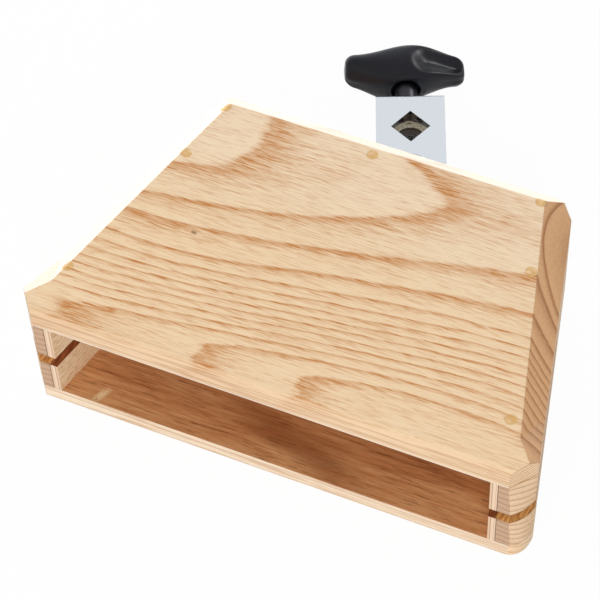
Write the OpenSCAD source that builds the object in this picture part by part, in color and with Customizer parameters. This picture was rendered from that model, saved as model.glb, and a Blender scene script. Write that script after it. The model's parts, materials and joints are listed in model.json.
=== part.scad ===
// Wood block with a tapered sound chamber, two side slits and a swivelling rod clamp.
// Origin: middle of the flat underside. +X right, +Y from the open front to the clamp, +Z up.

/* [Block] */
// Width of the front face between its cut corners
front_w = 170.2; // [150:0.1:200]
// Depth from the open front to the back face
body_d = 115; // [100:0.5:140]
// Height over both plates
body_h = 54.2; // [48:0.1:64]
// Thickness of the top plate
top_t = 9.5; // [7:0.1:11]
// Thickness of the bottom plate
bottom_t = 8.5; // [7:0.1:11]
// Taper of each side wall in plan, in degrees
wall_taper = 13.5; // [8:0.5:16]
// Thickness of the back block
back_block_t = 14; // [12:0.5:18]

/* [Chamber] */
// Width of each solid side wall at the front with its liner
front_wall_w = 6.6; // [5.6:0.1:9]
// Thickness of the thin liners inside the walls
liner_t = 2.8; // [2:0.1:3.5]
// Height of the slits in the side walls
slit_h = 5; // [4.4:0.1:6]
// Underside of the slits above the bottom plate
slit_rise = 14.7; // [12:0.1:17]
// Depth of the slits from the front
slit_d = 72; // [50:1:90]

/* [Edges] */
// Width that each front corner loses
corner_cut_w = 6.6; // [4:0.1:9]
// Depth that each front corner loses
corner_cut_d = 8.3; // [5:0.1:11]
// Outward lean of the right corner cut, in degrees
right_lean = 2; // [0:0.1:3]
// Back corners cut at 45 degrees
back_corner_cut = 6.9; // [4:0.1:9]
// Run of the upper side chamfers at their front end
chamfer_front = 7.1; // [5:0.1:8]
// Run of the upper side chamfers at the back
chamfer_back = 9.8; // [7:0.1:10.5]
// Run of the lower side chamfers
chamfer_low = 4.4; // [3:0.1:8]
// Distance from the front at which the side chamfers reach their full width
chamfer_start = 13.4; // [11:0.1:20]
// Sideways reach of the run-out at the front end of a chamfer
runout_w = 5.6; // [3:0.1:6]
// Lengthways reach of that run-out
runout_d = 7.2; // [4:0.1:9]
// Slope of the run-out, in degrees
runout_slope = 32; // [25:1:40]
// Bevel along the back edges
back_bevel = 9.4; // [6:0.1:10]
// Radius of the outer front edges
front_round = 3; // [1:0.1:4]

/* [Nails] */
// Radius of the nails' shanks
nail_r = 0.8; // [0.6:0.1:1.2]
// Length of the nails
nail_len = 18; // [14:0.5:19]
// Radius of the filler plugs over the nails
plug_r = 2; // [1.6:0.1:2.6]
// Depth of the filler plugs
plug_depth = 2; // [1:0.1:3]
// Front left nail, from the front face
nail_left_front = 20.8; // [16:0.1:30]
// Middle left nail, from the front face
nail_left_mid = 79.6; // [60:0.1:85]
// Back left nail, from the back face
nail_left_back = 11.5; // [10:0.1:13]
// Front right nail, from the front face
nail_right_front = 18.9; // [16:0.1:30]
// Middle right nail, from the front face
nail_right_mid = 76.1; // [60:0.1:85]
// Back right nail, from the back face
nail_right_back = 10.2; // [10:0.1:13]
// Nail in the back block, from the back face
nail_centre_back = 12.4; // [11:0.1:12.8]
// The same nail, from the middle of the block
nail_centre_x = -3.5; // [-6:0.1:6]
// Front left nail, from the inner face of the solid wall
nail_left_front_in = 4.5; // [1.2:0.1:5]
// Middle left nail, from the inner face of the solid wall
nail_left_mid_in = 1.6; // [1.2:0.1:4]
// Back left nail, from the inner face of the solid wall
nail_left_back_in = 2.9; // [1.2:0.1:4]
// Front right nail, from the inner face of the solid wall
nail_right_front_in = 1.3; // [1.2:0.1:4]
// Middle right nail, from the inner face of the solid wall
nail_right_mid_in = 1.2; // [1.2:0.1:4]
// Back right nail, from the inner face of the solid wall
nail_right_back_in = 1.3; // [1.2:0.1:4]

/* [Clamp] */
// Diameter of the mounting rod
rod_d = 9.5; // [9:0.1:10]
// Radial clearance of the rod in the eye
rod_clear = 0.35; // [0.2:0.05:0.4]
// Width of the clamp strap
strap_w = 25.4; // [24:0.1:28]
// Thickness of the clamp strap
strap_t = 2.5; // [2:0.1:3]
// Height over both legs of the clamp strap
clamp_h = 20; // [18:0.1:24]
// Clamp strap above the underside of the block
clamp_z = 0.5; // [0.3:0.1:2]
// Outer radius of the bends in the straps
bend_r = 3; // [2.6:0.1:4]
// Side of the square rod windows
window_side = 10.2; // [10.1:0.1:11]
// Rod axis to the outer face of the strap's web
web_reach = 15.8; // [15:0.1:20]
// Pivot axis to the rod axis
pivot_to_rod = 18; // [17:0.1:22]
// Pivot axis sideways from the middle of the block
pivot_x = 1.1; // [-2:0.1:2]
// Least gap from the strap's round end to the back face
end_gap = 0.5; // [0.4:0.1:2]
// Swing of the clamp at rest from straight back, in degrees
clamp_yaw = 22.5; // [-60:0.5:60]

/* [Foot] */
// Width of the foot plate on the back face
foot_w = 39; // [36:0.5:44]
// Height of the foot's two ears above the underside of the block
foot_top = 34; // [30:0.5:40]
// Width of each ear
ear_w = 9; // [8:0.1:10]
// Thickness of the foot bracket
foot_t = 2.5; // [2:0.1:3]
// Corner radius of the foot plate
foot_corner_r = 2; // [1:0.1:3]
// Radius of the tongues' round ends
tongue_r = 8; // [6:0.1:8.4]
// Gap between each tongue and the strap's leg beside it
leg_gap = 0.3; // [0.25:0.05:0.5]
// Lower foot screws above the underside of the block
screw_low = 13.6; // [13:0.1:14]
// Upper foot screws above the underside of the block
screw_high = 28; // [25:0.1:30]
// Radius of the foot screws' shanks
screw_r = 2; // [1.6:0.1:2.2]
// Radius of the foot screws' heads
screw_head_r = 3.5; // [3:0.1:3.6]
// Height of the foot screws' heads
screw_head_h = 2.2; // [1.6:0.1:2.6]
// Reach of the foot screws into the back block
screw_bite = 10.5; // [8:0.5:11]

/* [Pivot rivet] */
// Radius of the pivot rivet
rivet_r = 3; // [2.5:0.1:3.5]
// Radius of the rivet's domed head
rivet_head_r = 5.2; // [4.6:0.1:5.5]
// Height of the rivet's domed head
rivet_head_h = 2; // [1.5:0.1:2.5]
// Radius of the rivet's flush lower head
rivet_foot_r = 4.6; // [4.2:0.1:5]
// Height of the rivet's flush lower head
rivet_foot_h = 1.6; // [1:0.1:1.8]
// Radial running clearance of the rivet in the tongues
rivet_clear = 0.06; // [0.03:0.01:0.09]

/* [Eye bolt] */
// Width of the eye's ring
eye_ring_w = 4.1; // [3.5:0.1:4.6]
// Thickness of the eye's ring
eye_ring_t = 5; // [4:0.1:6]
// Rounding of the ring's edges
eye_round = 0.8; // [0.5:0.1:1.2]
// Radius of the threaded shank
shank_r = 3; // [2.5:0.1:3.2]
// Rod axis to the free end of the shank
shank_reach = 33; // [31:0.5:36]
// Clearance of the shank in the washer and in the nut's blind hole
shank_clear = 0.3; // [0.2:0.05:0.5]
// Clearance of the shank in the strap's web, which lets the bolt lean
web_clear = 1.3; // [1.1:0.1:1.5]
// Lean of the loose bolt in its hole, in degrees
bolt_lean = 3; // [0:0.5:3]

/* [Wing nut] */
// Radius of the flat washer
washer_r = 6.3; // [5.5:0.1:7]
// Thickness of the flat washer
washer_t = 1.2; // [0.8:0.1:1.6]
// Radius of the threaded bush
bush_r = 4.2; // [4:0.1:4.6]
// Length of the threaded bush
bush_len = 18; // [16:0.5:20]
// Running clearance of the shank in the bush
bush_clear = 0.05; // [0.03:0.01:0.09]
// Gap between the washer and the turning bush
face_gap = 0.5; // [0.4:0.05:0.8]
// Span over both wings
wing_span = 45.2; // [40:0.2:52]
// Thickness of a wing along the bolt, at its tip
wing_tip_t = 9; // [7:0.1:11]
// Thickness of the hub along the bolt
wing_hub_t = 20; // [15:0.1:21]
// Width of a wing across the bolt, at its tip
wing_tip_w = 14; // [10:0.1:15]
// Width of the hub across the bolt
wing_hub_w = 19.2; // [16:0.1:19.8]
// Rod axis to the middle of the wing tips
wing_at = 34.5; // [32:0.1:37]
// How much nearer to the rod the middle of the hub lies than the tips
wing_hub_near = 0.4; // [0:0.1:2]
// How far the wings bow to either side of a straight line
wing_bow = 0.9; // [0:0.1:1.5]
// Turn of the wings at rest, in degrees
wing_roll = 5; // [-30:1:30]
// Radius of the recess round the bush
recess_r = 5.9; // [5.2:0.1:6.6]
// Depth of that recess into the hub
recess_depth = 4; // [1:0.1:5]
// Depth of the blind hole past the bush, for the shank's travel
shank_room = 3; // [2:0.1:4]

/* [Hidden] */

front_y = -body_d / 2;
back_y = body_d / 2;
wall_top = body_h - top_t;
wall_h = wall_top - bottom_t;
slit_z = bottom_t + slit_rise;
// Larger than the block, for cutting planes
reach = 2 * front_w;
// Overrun of every through cut
over = body_h / 50;
corner_angle = atan2(corner_cut_d, corner_cut_w);
bevel_angle = 45;
liner_x_t = liner_t / cos(wall_taper);
chamber_w = front_w - 2 * front_wall_w;

// Half widths at a distance d from the front: outer wall, inner wall and liner
function side_x(d) = front_w / 2 + corner_cut_w - (d - corner_cut_d) * tan(wall_taper);
function chamber_x(d) = chamber_w / 2 - d * tan(wall_taper);
function wall_in_x(d) = chamber_x(d) + liner_x_t;

back_cut_x = side_x(body_d - back_corner_cut);

// Nails: side, distance from the front and distance from the inner face of the solid wall
wall_nails = [
    [-1, nail_left_front, nail_left_front_in],
    [-1, nail_left_mid, nail_left_mid_in],
    [-1, body_d - nail_left_back, nail_left_back_in],
    [1, nail_right_front, nail_right_front_in],
    [1, nail_right_mid, nail_right_mid_in],
    [1, body_d - nail_right_back, nail_right_back_in]
];
nail_points = [
    for (n = wall_nails) [n[0] * (wall_in_x(n[1]) + n[2]), front_y + n[1]],
    [nail_centre_x, back_y - nail_centre_back]
];

eye_r = rod_d / 2 + rod_clear;
pivot_y = back_y + strap_w / 2 + end_gap;
axis_z = clamp_z + clamp_h / 2;
web_y = pivot_to_rod + web_reach;
foot_z = clamp_z + strap_t + leg_gap;
foot_h = clamp_h - 2 * (strap_t + leg_gap);
ear_x = (foot_w - ear_w) / 2;
bush_y = web_reach + washer_t + face_gap;

// Facets of small and of large round forms
small_fn = 32;
round_fn = 64;
// Sections along the wing nut, points round each, and how square they are
wing_steps = 20;
wing_sides = 24;
wing_squareness = 2.6;
// Turns of the sine that the wings' bow follows, from the middle to a tip
bow_share = 2 / 3;
// Shares of the half span at which the wings' ends round off, and how far they draw in
tip_round_share = 0.16;
tip_end_share = 0.55;

// Everything above the plane through the X axis that drops towards +Y at the angle given
module above_plane(drop) {
    rotate([-drop, 0, 0]) translate([-reach, -reach, 0]) cube([2 * reach, 2 * reach, reach]);
}

// What the right-hand chamfer of the top takes away, with its run-out towards the front
module side_chamfer(front_run, back_run) {
    near = [side_x(chamfer_start) - front_run, front_y + chamfer_start];
    far = [side_x(body_d - back_bevel) - back_run, back_y - back_bevel];
    translate([near.x, near.y, body_h]) intersection() {
        rotate([0, 0, atan2(far.y - near.y, far.x - near.x)]) above_plane(-bevel_angle);
        rotate([0, 0, atan2(-runout_d, runout_w)]) above_plane(runout_slope);
    }
}

// Quarter round that is left outside a radius in the corner at the origin
module round_off(r) {
    difference() {
        translate([-over, -over]) square(r + over);
        translate([r, r]) circle(r = r, $fn = round_fn);
    }
}

module top_edges(front_run, back_run) {
    side_chamfer(front_run, back_run);
    mirror([1, 0, 0]) side_chamfer(front_run, back_run);
    translate([0, back_y - back_bevel, body_h]) above_plane(bevel_angle);
    translate([-reach / 2, front_y, body_h]) mirror([0, 0, 1]) rotate([90, 0, 90])
        linear_extrude(reach) round_off(front_round);
}

module corner_cut(lean) {
    translate([front_w / 2, front_y, body_h]) rotate([0, 0, corner_angle]) rotate([lean, 0, 0])
        translate([-reach, -reach, -reach]) cube([2 * reach, reach, 2 * reach]);
}

// All that is planed off the outside of the glued block
module outside_cuts() {
    top_edges(chamfer_front, chamfer_back);
    translate([0, 0, body_h]) mirror([0, 0, 1]) top_edges(chamfer_low, chamfer_low);
    corner_cut(right_lean);
    mirror([1, 0, 0]) corner_cut(0);
}

module slits() {
    translate([-reach / 2, front_y - over, slit_z]) cube([reach, slit_d + over, slit_h]);
}

module plan() {
    polygon([[-side_x(0), front_y], [side_x(0), front_y],
        [back_cut_x, back_y - back_corner_cut], [back_cut_x - back_corner_cut, back_y],
        [-back_cut_x + back_corner_cut, back_y], [-back_cut_x, back_y - back_corner_cut]]);
}

module at_nails() {
    for (p = nail_points) translate([p.x, p.y, 0]) children();
}

module plug_cores() {
    translate([0, 0, -over]) cylinder(r = plug_r, h = plug_depth + over, $fn = small_fn);
}

module nail_shank() {
    translate([0, 0, plug_depth]) cylinder(r = nail_r, h = nail_len, $fn = small_fn);
}

// Plug holes and nail holes from the top, or from the underside
module nail_holes(from_top) {
    translate([0, 0, from_top ? body_h : 0]) mirror([0, 0, from_top ? 1 : 0]) at_nails() {
        plug_cores();
        nail_shank();
    }
}

module all_nail_holes() {
    nail_holes(true);
    nail_holes(false);
}

module top_plate() {
    color("burlywood") difference() {
        translate([0, 0, wall_top]) linear_extrude(top_t) plan();
        outside_cuts();
        nail_holes(true);
    }
}

module bottom_plate() {
    color("burlywood") difference() {
        linear_extrude(bottom_t) plan();
        outside_cuts();
        nail_holes(false);
    }
}

// Solid side wall, end grain to the front, drawn for the right-hand side
module side_wall() {
    translate([0, 0, bottom_t]) linear_extrude(wall_h)
        polygon([[wall_in_x(0), front_y], [side_x(0), front_y],
            [back_cut_x, back_y - back_corner_cut], [back_cut_x - back_corner_cut, back_y],
            [wall_in_x(body_d), back_y]]);
}

module right_side() {
    color("tan") difference() {
        side_wall();
        outside_cuts();
        slits();
        all_nail_holes();
    }
}

module left_side() {
    color("tan") difference() {
        mirror([1, 0, 0]) side_wall();
        outside_cuts();
        slits();
        all_nail_holes();
    }
}

module back_block() {
    front_d = body_d - back_block_t;
    color("tan") difference() {
        translate([0, 0, bottom_t]) linear_extrude(wall_h)
            polygon([[-wall_in_x(front_d), front_y + front_d], [wall_in_x(front_d), front_y + front_d],
                [wall_in_x(body_d), back_y], [-wall_in_x(body_d), back_y]]);
        outside_cuts();
        all_nail_holes();
        at_foot_screws() screw_shank();
    }
}

module liner() {
    far_d = body_d - back_block_t;
    translate([0, 0, bottom_t]) linear_extrude(wall_h)
        polygon([[chamber_x(0), front_y], [wall_in_x(0), front_y],
            [wall_in_x(far_d), front_y + far_d], [chamber_x(far_d), front_y + far_d]]);
}

module right_liner() {
    color("wheat") difference() {
        liner();
        slits();
    }
}

module left_liner() {
    color("wheat") difference() {
        mirror([1, 0, 0]) liner();
        slits();
    }
}

module back_liner() {
    far_d = body_d - back_block_t;
    near_d = far_d - liner_t;
    color("wheat") translate([0, 0, bottom_t]) linear_extrude(wall_h)
        polygon([[-chamber_x(near_d), front_y + near_d], [chamber_x(near_d), front_y + near_d],
            [chamber_x(far_d), front_y + far_d], [-chamber_x(far_d), front_y + far_d]]);
}

module plug() {
    cylinder(r = plug_r, h = plug_depth, $fn = small_fn);
}

module top_plugs() {
    color("goldenrod") difference() {
        translate([0, 0, body_h]) mirror([0, 0, 1]) at_nails() plug();
        outside_cuts();
    }
}

module bottom_plugs() {
    color("goldenrod") difference() {
        at_nails() plug();
        outside_cuts();
    }
}

module top_nails() {
    color("silver") translate([0, 0, body_h]) mirror([0, 0, 1]) at_nails() nail_shank();
}

module bottom_nails() {
    color("silver") at_nails() nail_shank();
}

// Local frame of the foot: origin on the back face below the pivot, +Y away from the block
module at_foot() {
    translate([pivot_x, back_y, 0]) children();
}

module at_foot_screws() {
    at_foot() for (s = [-1, 1], z = [screw_low, screw_high])
        translate([s * ear_x, foot_t, z]) rotate([90, 0, 0]) children();
}

module screw_shank() {
    cylinder(r = screw_r, h = foot_t + screw_bite, $fn = small_fn);
}

// Dome of the given radius and height on the plane z = 0
module dome(r, h) {
    ball_r = (r * r + h * h) / (2 * h);
    intersection() {
        translate([0, 0, h - ball_r]) sphere(r = ball_r, $fn = round_fn);
        cylinder(r = r, h = h, $fn = round_fn);
    }
}

module rounded_rect(w, h, r) {
    translate([-w / 2 + r, -h / 2]) square([w - 2 * r, h]);
    translate([-w / 2, -h / 2 + r]) square([w, h - 2 * r]);
    for (sx = [-1, 1], sy = [-1, 1])
        translate([sx * (w / 2 - r), sy * (h / 2 - r)]) circle(r = r, $fn = small_fn);
}

// Side view of a strap bent twice at its far end: length along X, height along Y, both from zero
module bent_strap(len, h, t) {
    difference() {
        square([len, h]);
        translate([len, 0]) mirror([1, 0]) round_off(bend_r);
        translate([len, h]) mirror([1, 0]) mirror([0, 1]) round_off(bend_r);
        translate([-over, t]) difference() {
            square([len - t + over, h - 2 * t]);
            translate([len - t + over, 0]) mirror([1, 0]) round_off(bend_r - t);
            translate([len - t + over, h - 2 * t]) mirror([1, 0]) mirror([0, 1]) round_off(bend_r - t);
        }
    }
}

// Outline of the plate on the back face: a bar between the strap's legs and an ear on each side
module foot_outline() {
    translate([0, foot_z + foot_h / 2]) rounded_rect(foot_w, foot_h, foot_corner_r);
    for (s = [-1, 1]) translate([s * ear_x, (foot_z + foot_top) / 2])
        rounded_rect(ear_w, foot_top - foot_z, foot_corner_r);
}

// Two tongues on the plate, one inside each leg of the strap
module foot_tongues() {
    pivot_out = pivot_y - back_y;
    intersection() {
        translate([-tongue_r, pivot_out + tongue_r, foot_z]) mirror([0, 1, 0]) rotate([90, 0, 90])
            linear_extrude(2 * tongue_r) bent_strap(pivot_out + tongue_r, foot_h, foot_t);
        translate([0, 0, foot_z]) linear_extrude(foot_h) {
            translate([-tongue_r, 0]) square([2 * tongue_r, pivot_out]);
            translate([0, pivot_out]) circle(r = tongue_r, $fn = round_fn);
        }
    }
}

module foot_bracket() {
    color("silver") difference() {
        at_foot() union() {
            translate([0, foot_t, 0]) rotate([90, 0, 0]) linear_extrude(foot_t) foot_outline();
            foot_tongues();
        }
        translate([pivot_x, pivot_y, 0]) cylinder(r = rivet_r + rivet_clear, h = body_h, $fn = round_fn);
        at_foot_screws() translate([0, 0, -over])
            cylinder(r = screw_r, h = foot_t + 2 * over, $fn = small_fn);
    }
}

module foot_screws() {
    color("silver") at_foot_screws() {
        screw_shank();
        mirror([0, 0, 1]) dome(screw_head_r, screw_head_h);
    }
}

// Local frame of the clamp: origin on the pivot, +Y along the eye bolt towards the wing nut
module at_clamp() {
    translate([pivot_x, pivot_y, 0]) rotate([0, 0, clamp_yaw]) children();
}

// Local frame of the bolt: origin on the rod axis, +Y along the leaning bolt
module at_bolt() {
    at_clamp() translate([0, pivot_to_rod, axis_z]) rotate([0, 0, bolt_lean]) children();
}

module swivel_rivet() {
    color("silver") at_clamp() {
        translate([0, 0, clamp_z]) cylinder(r = rivet_r, h = clamp_h, $fn = round_fn);
        translate([0, 0, clamp_z]) cylinder(r1 = rivet_foot_r, r2 = rivet_r, h = rivet_foot_h, $fn = round_fn);
        translate([0, 0, clamp_z + clamp_h]) dome(rivet_head_r, rivet_head_h);
    }
}

module clamp_bracket() {
    strap_len = web_y + strap_w / 2;
    color("lightsteelblue") at_clamp() difference() {
        intersection() {
            translate([-strap_w / 2, -strap_w / 2, clamp_z]) rotate([90, 0, 90])
                linear_extrude(strap_w) bent_strap(strap_len, clamp_h, strap_t);
            linear_extrude(body_h) {
                circle(r = strap_w / 2, $fn = round_fn);
                translate([-strap_w / 2, 0]) square([strap_w, web_y + over]);
            }
        }
        translate([0, pivot_to_rod, -over]) rotate([0, 0, bevel_angle]) linear_extrude(body_h)
            square(window_side, center = true);
        translate([0, 0, -over]) cylinder(r = rivet_r, h = body_h, $fn = round_fn);
        translate([0, 0, clamp_z]) cylinder(r1 = rivet_foot_r, r2 = rivet_r, h = rivet_foot_h, $fn = round_fn);
        translate([0, pivot_to_rod, axis_z]) rotate([-90, 0, 0])
            cylinder(r = shank_r + web_clear, h = web_reach + over, $fn = round_fn);
    }
}

module eye_bolt() {
    ring_r = eye_r + eye_ring_w / 2;
    color("darkkhaki") at_bolt() difference() {
        union() {
            rotate_extrude($fn = round_fn) translate([ring_r, 0])
                rounded_rect(eye_ring_w, eye_ring_t, eye_round);
            translate([0, ring_r, 0]) rotate([-90, 0, 0])
                cylinder(r = shank_r, h = shank_reach - ring_r, $fn = round_fn);
        }
        translate([0, 0, -eye_ring_t]) cylinder(r = eye_r, h = 2 * eye_ring_t, $fn = round_fn);
    }
}

// Lies flat on the web, centred where the leaning shank comes through
module flat_washer() {
    lean_x = (web_reach + washer_t / 2) * tan(bolt_lean);
    color("silver") at_clamp() translate([-lean_x, web_y, axis_z]) rotate([-90, 0, 0]) difference() {
        cylinder(r = washer_r, h = washer_t, $fn = round_fn);
        translate([0, 0, -over]) cylinder(r = shank_r + shank_clear, h = washer_t + 2 * over, $fn = round_fn);
    }
}

module wing_bush() {
    color("dimgray") at_bolt() translate([0, bush_y, 0]) rotate([-90, 0, 0]) difference() {
        cylinder(r = bush_r, h = bush_len, $fn = round_fn);
        translate([0, 0, -over])
            cylinder(r = shank_r + bush_clear, h = bush_len + 2 * over, $fn = round_fn);
    }
}

// Shape of the wing nut over its span, u running from -1 at one tip to 1 at the other
function swell(u) = pow(cos(90 * u), 3);
function draw_in(u) = let (e = max(0, (abs(u) - 1 + tip_round_share) / tip_round_share))
    1 - tip_end_share * (1 - sqrt(max(0, 1 - e * e)));
function half_t(u) = draw_in(u) * (wing_tip_t + (wing_hub_t - wing_tip_t) * swell(u)) / 2;
function half_w(u) = draw_in(u) * (wing_tip_w + (wing_hub_w - wing_tip_w) * swell(u)) / 2;
function bow(u) = wing_bow * sin(360 * bow_share * u);
function square_cos(a) = sign(cos(a)) * pow(abs(cos(a)), 2 / wing_squareness);
function square_sin(a) = sign(sin(a)) * pow(abs(sin(a)), 2 / wing_squareness);
// Sections lie closer together towards the tips
function wing_u(i) = sin(90 * (2 * i / wing_steps - 1));
wing_pts = [
    for (i = [0 : wing_steps], j = [0 : wing_sides - 1])
        let (u = wing_u(i), a = 360 * j / wing_sides)
            [u * wing_span / 2, wing_at - wing_hub_near * swell(u) + half_t(u) * square_cos(a),
                bow(u) + half_w(u) * square_sin(a)]
];
wing_sides_faces = [
    for (i = [0 : wing_steps - 1], j = [0 : wing_sides - 1])
        let (k = (j + 1) % wing_sides, p = i * wing_sides, q = (i + 1) * wing_sides)
            each [[p + j, q + j, p + k], [p + k, q + j, q + k]]
];
wing_faces = concat(wing_sides_faces,
    [[for (j = [0 : wing_sides - 1]) j]],
    [[for (j = [wing_sides - 1 : -1 : 0]) wing_steps * wing_sides + j]]);

module wing_nut() {
    hub_front = wing_at - wing_hub_near - wing_hub_t / 2;
    color("#25272d") at_bolt() difference() {
        rotate([0, wing_roll, 0]) polyhedron(points = wing_pts, faces = wing_faces, convexity = 4);
        translate([0, bush_y, 0]) rotate([-90, 0, 0])
            cylinder(r = bush_r, h = bush_len, $fn = round_fn);
        translate([0, bush_y, 0]) rotate([-90, 0, 0])
            cylinder(r = shank_r + shank_clear, h = bush_len + shank_room, $fn = round_fn);
        translate([0, bush_y, 0]) rotate([-90, 0, 0])
            cylinder(r = recess_r, h = hub_front + recess_depth - bush_y, $fn = round_fn);
    }
}

top_plate();
bottom_plate();
left_side();
right_side();
back_block();
left_liner();
right_liner();
back_liner();
top_plugs();
bottom_plugs();
top_nails();
bottom_nails();
foot_bracket();
foot_screws();
swivel_rivet();
clamp_bracket();
eye_bolt();
flat_washer();
wing_bush();
wing_nut();
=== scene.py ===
import json
import math

import bmesh
import bpy
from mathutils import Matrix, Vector


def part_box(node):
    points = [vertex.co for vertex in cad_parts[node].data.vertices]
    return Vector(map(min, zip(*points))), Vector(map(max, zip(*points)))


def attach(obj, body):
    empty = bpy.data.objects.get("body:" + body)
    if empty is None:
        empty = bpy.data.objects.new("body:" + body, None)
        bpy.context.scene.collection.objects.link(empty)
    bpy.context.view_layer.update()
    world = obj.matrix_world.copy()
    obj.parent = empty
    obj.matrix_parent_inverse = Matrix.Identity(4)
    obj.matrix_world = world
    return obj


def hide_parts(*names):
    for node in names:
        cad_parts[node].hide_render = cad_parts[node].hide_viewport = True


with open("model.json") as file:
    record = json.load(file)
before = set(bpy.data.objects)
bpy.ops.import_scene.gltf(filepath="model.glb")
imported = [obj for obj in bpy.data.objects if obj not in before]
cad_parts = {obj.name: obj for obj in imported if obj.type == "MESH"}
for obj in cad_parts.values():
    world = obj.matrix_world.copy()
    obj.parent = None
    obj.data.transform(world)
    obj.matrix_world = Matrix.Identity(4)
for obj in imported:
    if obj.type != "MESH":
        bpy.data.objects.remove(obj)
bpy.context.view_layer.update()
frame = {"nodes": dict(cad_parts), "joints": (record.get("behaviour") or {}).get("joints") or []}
MM = 0.001


# Shader arithmetic and material building

class Val:
    """A float in a shader tree, with arithmetic."""

    def __init__(self, tree, source):
        self.tree = tree
        self.source = source

    def put(self, socket):
        """Sets a socket to the number that this value holds, or links it to the output."""
        if isinstance(self.source, (int, float)):
            socket.default_value = self.source
        else:
            self.tree.links.new(self.source, socket)

    def op(self, name, *others, clamp=False):
        node = self.tree.nodes.new("ShaderNodeMath")
        node.operation = name
        node.use_clamp = clamp
        for socket, value in zip(node.inputs, (self,) + others):
            as_val(self.tree, value).put(socket)
        return Val(self.tree, node.outputs[0])

    def __add__(self, other):
        return self.op("ADD", other)

    __radd__ = __add__

    def __sub__(self, other):
        return self.op("SUBTRACT", other)

    def __rsub__(self, other):
        return as_val(self.tree, other).op("SUBTRACT", self)

    def __mul__(self, other):
        return self.op("MULTIPLY", other)

    __rmul__ = __mul__

    def __truediv__(self, other):
        return self.op("DIVIDE", other)

    def abs(self):
        return self.op("ABSOLUTE")

    def sqrt(self):
        return self.op("SQRT")

    def fract(self):
        return self.op("FRACT")

    def max(self, other):
        return self.op("MAXIMUM", other)

    def min(self, other):
        return self.op("MINIMUM", other)

    def clamp(self):
        return self.op("ADD", 0.0, clamp=True)

    def step(self, low, high):
        """0 below low, 1 above high, smooth between."""
        node = self.tree.nodes.new("ShaderNodeMapRange")
        node.interpolation_type = "SMOOTHSTEP"
        node.inputs["From Min"].default_value = low
        node.inputs["From Max"].default_value = high
        self.put(node.inputs["Value"])
        return Val(self.tree, node.outputs["Result"])

    def hump(self, middle, reach):
        """1 at the middle, 0 from the reach on."""
        off = (self - middle) / reach
        return (1 - off * off).max(0)


def as_val(tree, value):
    return value if isinstance(value, Val) else Val(tree, float(value))


def rgb(red, green, blue):
    """A colour as it looks on screen, 0 to 255, turned into linear light."""
    def linear(level):
        level /= 255
        return level / 12.92 if level <= 0.04045 else ((level + 0.055) / 1.055) ** 2.4
    return (linear(red), linear(green), linear(blue), 1.0)


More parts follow.
